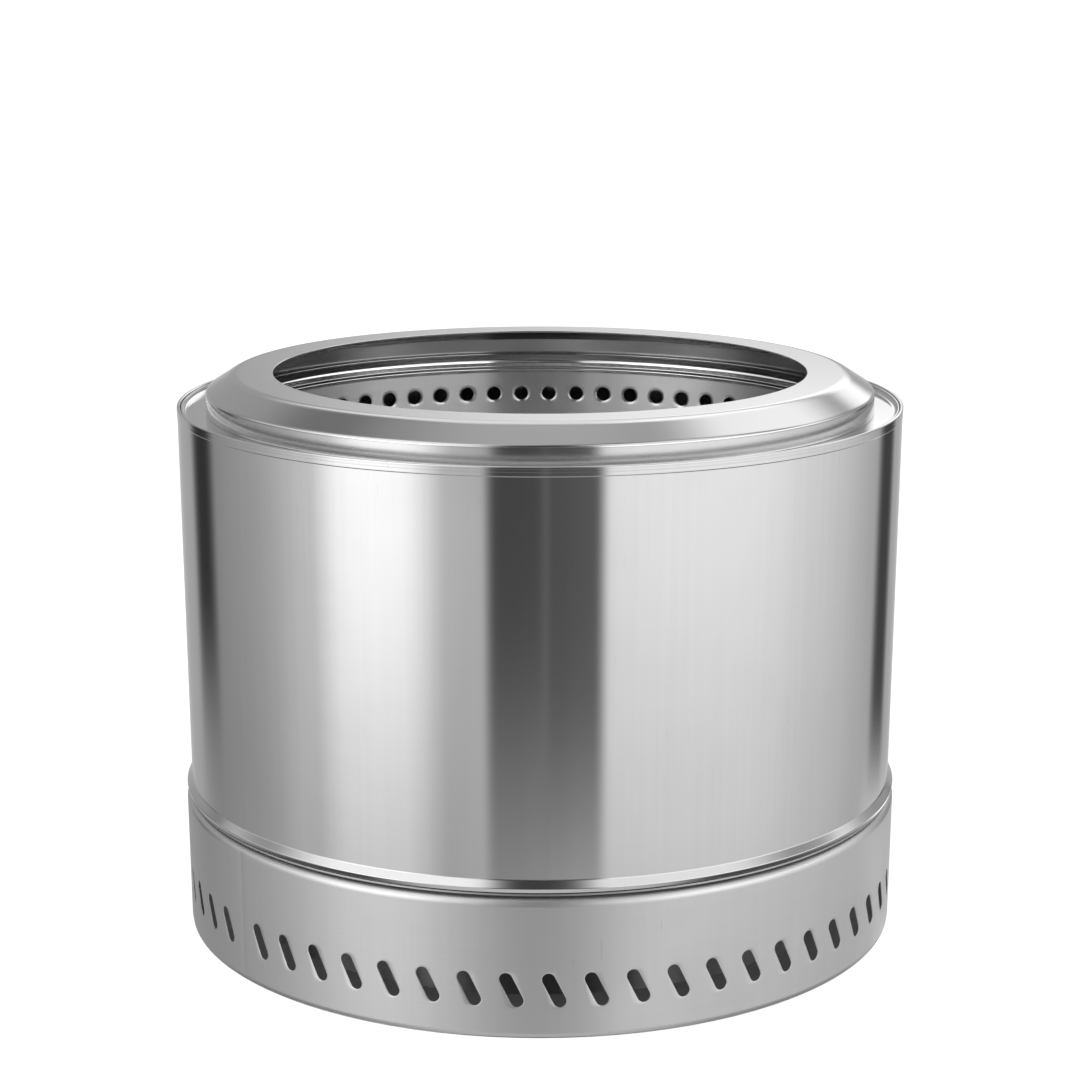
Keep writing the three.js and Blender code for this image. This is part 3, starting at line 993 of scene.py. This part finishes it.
def chamber_wall():
    """The inner drum with its upper and lower rows of air holes."""
    upper_band = (UPPER_HOLE_HEIGHT - UPPER_BAND_HALF, UPPER_HOLE_HEIGHT + UPPER_BAND_HALF)
    lower_band = (LOWER_HOLE_HEIGHT - LOWER_BAND_HALF, LOWER_HOLE_HEIGHT + LOWER_BAND_HALF)
    edge = [
        (FINE_EASE, CHAMBER_RADIUS),
        (0, CHAMBER_RADIUS - FINE_EASE),
        *[(HOLE_EDGE * share, CHAMBER_INNER + depth) for share, depth in HOLE_COIN],
    ]

    def half(name, count, start, diameter, centre, band, rim_height, split_side, skew):
        """Half of the drum, from its rim past its holes to the height where the halves meet."""
        rim_side = 1 - split_side
        rim = bent(
            [
                (CHAMBER_RADIUS, band[rim_side]),
                (CHAMBER_RADIUS, rim_height, FINE_EASE),
                (CHAMBER_INNER, rim_height, FINE_EASE),
                (CHAMBER_INNER, band[rim_side]),
            ]
        )
        walls = [
            [Vector((radius, band[split_side])), Vector((radius, CHAMBER_SPLIT))]
            for radius in (CHAMBER_INNER, CHAMBER_RADIUS)
        ]
        pitch = 2 * math.pi / count
        cell = punched_cell(
            (rim, *walls), band, centre, (CHAMBER_RADIUS, CHAMBER_INNER), pitch,
            CHAMBER_COLUMNS // count, HOLE_ROWS, (diameter, diameter, 0), edge, skew=skew,
        )
        return row_of(name, cell, count, start, pitch, DRUM_STEEL)

    # The lower half leans by less than a column, so that the two halves meet
    column = 2 * math.pi / CHAMBER_COLUMNS
    lower_start = math.pi / LOWER_HOLES
    apart = UPPER_HOLE_START - math.pi / UPPER_HOLES - (lower_start - math.pi / LOWER_HOLES)
    lean = apart - column * round(apart / column)
    upper = half(
        "upper_drum", UPPER_HOLES, UPPER_HOLE_START, UPPER_HOLE, UPPER_HOLE_HEIGHT,
        upper_band, CHAMBER_TOP, 0, None,
    )
    lower = half(
        "lower_drum", LOWER_HOLES, lower_start, LOWER_HOLE, LOWER_HOLE_HEIGHT,
        lower_band, CHAMBER_FOOT, 1, (CHAMBER_SPLIT, lean),
    )
    piece = join("drum", upper, lower)
    dress(piece, "body", "satin_steel", "chamber_wall")


def chamber_floor():
    """The plate that closes the drum below, with its edge turned down."""
    section = sheet_section(
        [(FLOOR_RADIUS, CHAMBER_FOOT), (FLOOR_RADIUS, FLOOR_TOP, FLANGE_BEND), (0, FLOOR_TOP)],
        FLOOR_SHEET,
    )
    dress(turned("drum_floor", section, PLAIN), "body", "plain_steel", "chamber_floor")


def grate_ledge():
    """The ledge round the drum that the grate lies on."""
    section = sheet_section(
        [
            (LEDGE_RADIUS, LEDGE_TOP - LEDGE_FLANGE),
            (LEDGE_RADIUS, LEDGE_TOP, FLANGE_BEND),
            (LEDGE_INNER, LEDGE_TOP, FLANGE_BEND),
            (LEDGE_INNER, LEDGE_FOOT),
        ],
        LEDGE_SHEET,
    )
    dress(turned("ledge", section, PLAIN), "body", "plain_steel", "grate_ledge")


def base_ring():
    """Closes the gap between the walls, nests in the stand's lip and lets air up through holes."""
    seam = BASE_TOP - BASE_SHEET
    middle = (BASE_COLLAR + BASE_RIB) / 2
    width = BASE_RIB - BASE_COLLAR - 2 * BASE_SHEET
    hole = width - 2 * BASE_HOLE_MARGIN
    band = (middle - width / 2, middle + width / 2)
    under = bent(
        [
            (BASE_COLLAR, BASE_FOOT + BASE_COLLAR_HEIGHT),
            (BASE_COLLAR, BASE_FOOT, BASE_BEND),
            (BASE_RIB, BASE_FOOT, BASE_BEND),
            (BASE_RIB, STAND_TOP, FINE_EASE),
            (BASE_SEAT, STAND_TOP, EASE),
            (BASE_SEAT, seam, EASE),
            (BASE_RADIUS - EASE, seam),
            (BASE_RADIUS, seam + BASE_SHEET * CUT_EASE),
        ]
    )
    over = offset(under, BASE_SHEET)
    over[-1] = Vector((BASE_RADIUS, BASE_TOP - BASE_SHEET * CUT_EASE))
    over.append(Vector((BASE_RADIUS - EASE, BASE_TOP)))
    faces = (BASE_FOOT + BASE_SHEET, BASE_FOOT)

    def part(points, outer):
        """The points on one side of the holes."""
        return [p for p in points if (p.x > middle) == outer]

    chains = [
        [
            Vector((band[1], faces[0])),
            *part(over, True),
            *reversed(part(under, True)),
            Vector((band[1], faces[1])),
        ],
        [
            Vector((band[0], faces[1])),
            *reversed(part(under, False)),
            *part(over, False),
            Vector((band[0], faces[0])),
        ],
    ]
    edge = [(EASE, faces[0]), (0, faces[0] - EASE), (0, faces[1] + EASE), (EASE, faces[1])]
    pitch = 2 * math.pi / BASE_HOLES
    cell = punched_cell(
        chains, band, middle, faces, pitch, BASE_COLUMNS, BASE_ROWS, (hole, hole, 0), edge, flat=True
    )
    row = row_of("base", cell, BASE_HOLES, pitch / 2, pitch, BASE_STEEL_IN_PAINTED_SHADE)
    dress(weld(row), "body", "satin_steel", "base_ring")


def flame_ring():
    """The loose pressed ring: an upright band on the deck and a slope up to the flat top."""
    shoulder = DECK_TOP + RING_SHOULDER_HEIGHT
    section = sheet_section(
        [
            (RING_RADIUS, RING_FOOT),
            (RING_RADIUS, RING_FOOT + RING_FOOT_HEIGHT),
            (RING_RADIUS - RING_LEAN, shoulder, RING_SHOULDER_BEND),
            (RING_HOLE + RING_FLAT, RING_TOP, RING_FLAT_BEND),
            (RING_HOLE, RING_TOP),
        ],
        RING_SHEET,
    )
    dress(turned("ring", section, RING_STEEL), "flame_ring", "satin_steel", "flame_ring")


def ease_edges(piece, width):
    """Takes the sharpness off the cut edges."""
    mesh = bmesh.new()
    mesh.from_mesh(piece.data)
    bmesh.ops.remove_doubles(mesh, verts=mesh.verts, dist=WELD)
    bmesh.ops.recalc_face_normals(mesh, faces=mesh.faces)
    cut = [e for e in mesh.edges if len(e.link_faces) == 2 and e.calc_face_angle() > CUT_ANGLE]
    bmesh.ops.bevel(mesh, geom=cut, offset=width, segments=2, affect="EDGES", profile=0.5)
    mesh.to_mesh(piece.data)
    mesh.free()
    return weld(piece)


def grate():
    """The loose plate that the wood burns on."""
    plate = grow(
        "grate_plate",
        PLATE,
        plate_radius=GRATE_RADIUS,
        thickness=GRATE_TOP - GRATE_FOOT,
        foot=GRATE_FOOT,
        hole=GRATE_HOLE,
        row_pitch=GRATE_PITCH,
        grip_hole=GRIP_HOLE,
        grip_inset=GRIP_INSET,
        steel=PLAIN,
    )
    dress(ease_edges(plate, GRATE_EASE), "grate", "plain_steel", "grate")


def ash_pan():
    """The pan with its turned-out lip, two hook lugs inside it and their rivets."""
    section = sheet_section(
        [
            (0, PAN_FOOT),
            (PAN_RADIUS, PAN_FOOT, PAN_BEND),
            (PAN_RADIUS, PAN_TOP - PAN_SHEET, PAN_LIP_BEND),
            (PAN_RADIUS + PAN_LIP, PAN_TOP - PAN_SHEET),
        ],
        PAN_SHEET,
    )
    dress(turned("pan", section, PLAIN), "ash_pan", "plain_steel", "ash_pan")

    # Each lug is a strip bent to a hook, curved to the pan's wall and rounded at its free corners
    back = PAN_RADIUS - PAN_SHEET
    mesh = bmesh.new()
    half = LUG_WIDTH / 2
    strips = []
    for i in range(LUG_COLUMNS + 1):
        side = -half * math.cos(math.pi * i / LUG_COLUMNS)
        short = max(0, abs(side) - half + LUG_CORNER)
        cropped = LUG_CORNER - math.sqrt(LUG_CORNER ** 2 - short ** 2)
        strip = sheet_section(
            [
                (back, PAN_FOOT + LUG_FOOT + cropped),
                (back, PAN_TOP + LUG_RISE, LUG_BEND),
                (back - LUG_REACH + cropped, PAN_TOP + LUG_RISE),
            ],
            LUG_SHEET,
        )
        strips.append([on_wall(p.x, side / back, p.y) for p in strip])
    quilt(mesh, strips, closed=True)
    bmesh.ops.holes_fill(mesh, edges=mesh.edges)
    lugs = row_of("pan_lugs", cell_object(mesh), 2, -math.pi / 2, math.pi, PLAIN)
    dress(weld(lugs), "ash_pan", "plain_steel", "pan_lug_1", "pan_lug_2")

    # A rivet is a shank with a domed head outside the wall and one inside the lug
    def dome(face, way):
        """A head's section, as radii and distances from the axis, from its edge to its middle."""
        steps = [math.pi / 2 * i / RIVET_STEPS for i in range(RIVET_STEPS + 1)]
        height = way * RIVET_HEAD_HEIGHT
        return [(RIVET_HEAD * math.cos(a), face + height * math.sin(a)) for a in steps]

    seat = back - LUG_SHEET
    shank = [(RIVET_SHANK, seat), (RIVET_SHANK, PAN_RADIUS)]
    profile = [*reversed(dome(seat, -1)), *shank, *dome(PAN_RADIUS, 1)]
    ways = [2 * math.pi * i / RIVET_SIDES for i in range(RIVET_SIDES)]
    mesh = bmesh.new()
    for height in RIVET_HEIGHTS:
        rows = [
            [Vector((r * math.cos(a), -distance, height + r * math.sin(a))) for a in ways]
            for r, distance in profile
        ]
        quilt(mesh, rows, closed=True)
    rivets = row_of("pan_rivets", cell_object(mesh), 2, -math.pi / 2, math.pi, PLAIN)
    names = [f"pan_rivet_{i}" for i in range(1, 5)]
    dress(weld(rivets), "ash_pan", "plain_steel", *names)


def studio():
    """White for the camera. The steel sees a room with soft lights, dark flags and a floor."""
    world = bpy.data.worlds.new("studio")
    world.use_nodes = True
    bpy.context.scene.world = world
    nodes = Nodes(world.node_tree)
    way = nodes.add("ShaderNodeTexCoord", {}, {}, output=0)
    x, y, z = nodes.split(way)
    level = nodes.add("ShaderNodeMath", {"operation": "SQRT"}, {0: x * x + y * y + NEVER_ZERO})

    def facing(azimuth, half, soft):
        """1 towards an azimuth in degrees, 0 beyond its half width, with a soft edge."""
        turn = math.radians(azimuth)
        towards = (x * math.sin(turn) - y * math.cos(turn)) / level
        far = math.cos(math.radians(min(half + soft, 180)))
        near = math.cos(math.radians(max(half - soft, 0)))
        return between(nodes, towards, far, near)

    def above(elevation, soft):
        """1 above an elevation in degrees, 0 below it."""
        low = math.sin(math.radians(elevation - soft))
        high = math.sin(math.radians(elevation + soft))
        return between(nodes, z, low, high)

    def band(low, high, soft):
        """1 between two elevations in degrees."""
        return above(low, soft) * (1 - above(high, soft))

    def lit(tone, lights):
        """A tone with these lights added."""
        for azimuth, half, soft, low, high, fade, strength in lights:
            tone = tone + facing(azimuth, half, soft) * band(low, high, fade) * strength
        return tone

    def flagged(tone, flags):
        """A tone darkened by these flags."""
        for azimuth, half, soft, low, high, fade, depth in flags:
            tone = tone * (1 - facing(azimuth, half, soft) * band(low, high, fade) * depth)
        return tone

    # About level with the pit
    height = z - math.sin(math.radians(LOSS_ELEVATION))
    lost = nodes.add("ShaderNodeMath", {"operation": "MINIMUM"}, {0: height, 1: LOSS_TOP})
    light = ROOM_FILL
    for azimuth, half, soft, strength in ROOM_LIGHTS:
        light = light + facing(azimuth, half, soft) * strength * (1 + lost * LOSS_RATE)
    for azimuth, half, soft, end, fade, depth in ROOM_FLAGS:
        light = light * (1 - facing(azimuth, half, soft) * above(end, fade) * depth)
    for azimuth, half, soft, end, fade, depth in LOW_FLAGS:
        light = light * (1 - facing(azimuth, half, soft) * (1 - above(end, fade)) * depth)
    light = lit(light, LOW_LIGHTS)

    # The pit stands on a pale table. Beyond its sides it is dark
    room = above(*FLOOR_EDGE)
    table = facing(*TABLE) * TABLE_TONE + FLOOR_TONE
    # Straight down, below the near floor's end, the pit's shadow is painted into the room
    floor = PIT_SHADOW_TONE + above(*FLOOR_NEAR) * (table - PIT_SHADOW_TONE)
    light = light * room + (1 - room) * floor

    # Higher up
    high = flagged(lit(SKY_FILL, HIGH_LIGHTS), HIGH_FLAGS)
    zenith = above(*ZENITH)
    high = high * (1 - zenith) + zenith * ZENITH_TONE
    front = facing(*FRONT)
    for low_edge, high_edge, soft, more in FRONT_BANDS:
        light = light * (1 + front * band(low_edge, high_edge, soft) * more)
    sky = above(*BACK_SKY) * (1 - front) + above(*FRONT_SKY) * front
    light = flagged(light * (1 - sky) + high * sky, (TOP_FLAG,))
    mirrored = nodes.add("ShaderNodeBackground", {}, {"Color": grey(nodes, light)})
    white = nodes.add("ShaderNodeBackground", {}, {"Color": (1, 1, 1, 1)})
    seen = nodes.add("ShaderNodeLightPath", {}, {}, output=0)
    shown = nodes.add("ShaderNodeMixShader", {}, {0: seen, 1: mirrored, 2: white})
    nodes.add("ShaderNodeOutputWorld", {}, {"Surface": shown})


def floor_material(name, tone, glow, seen_glow):
    """A matt floor with a glow of its own, which can be for the camera alone."""
    material = bpy.data.materials.new(name)
    material.use_nodes = True
    nodes = Nodes(material.node_tree)
    matt = nodes.add("ShaderNodeBsdfDiffuse", {}, {"Color": (tone, tone, tone, 1)})
    bright = nodes.add("ShaderNodeEmission", {}, {"Color": (1, 1, 1, 1), "Strength": glow})
    shown = nodes.add("ShaderNodeAddShader", {}, {0: matt, 1: bright})
    if seen_glow:
        seen = nodes.add("ShaderNodeLightPath", {}, {}, output=0)
        shown = nodes.add("ShaderNodeMixShader", {}, {0: seen, 1: matt, 2: shown})
    nodes.add("ShaderNodeOutputMaterial", {}, {"Surface": shown})
    return material


def floor_disc(name, reach_out, height, material, mirrored):
    """A disc of floor. Where it isn't mirrored, the steel sees the room through it."""
    mesh = bmesh.new()
    place = Matrix.Translation((0, 0, height))
    bmesh.ops.create_circle(
        mesh, cap_ends=True, segments=FLOOR_SIDES, radius=reach_out, matrix=place
    )
    data = bpy.data.meshes.new(name)
    mesh.to_mesh(data)
    mesh.free()
    data.materials.append(material)
    floor = bpy.data.objects.new(name, data)
    bpy.context.scene.collection.objects.link(floor)
    floor.visible_glossy = mirrored
    floor.visible_shadow = mirrored


def ground():
    """A white floor that keeps a little of the pit's shadow, and the shaded ground under the pit, with
    a faint painted glow.
    """
    white = floor_material("white floor", WHITE_FLOOR_TONE, WHITE_FLOOR_GLOW, True)
    shaded = floor_material("shaded floor", SHADED_FLOOR_TONE, SHADED_FLOOR_PAINTED_GLOW, False)
    floor_disc("ground", FLOOR_REACH, WHITE_FLOOR_HEIGHT, white, False)
    floor_disc("ground_under", STAND_RADIUS - STAND_SHEET, SHADED_FLOOR_HEIGHT, shaded, True)


def camera():
    """Stands in front of the pit and a little above it."""
    lens = bpy.data.cameras.new("camera")
    lens.sensor_width = SENSOR
    lens.lens = LENS
    lens.shift_y = CAMERA_SHIFT
    viewer = bpy.data.objects.new("camera", lens)
    viewer.location = CAMERA_PLACE
    viewer.rotation_euler = (math.radians(CAMERA_TILT), 0, 0)
    bpy.context.scene.collection.objects.link(viewer)
    bpy.context.scene.camera = viewer


stand()
outer_wall()
top_deck()
chamber_wall()
chamber_floor()
grate_ledge()
base_ring()
flame_ring()
grate()
ash_pan()
studio()
ground()
camera()
bpy.context.scene.view_settings.view_transform = "Standard"
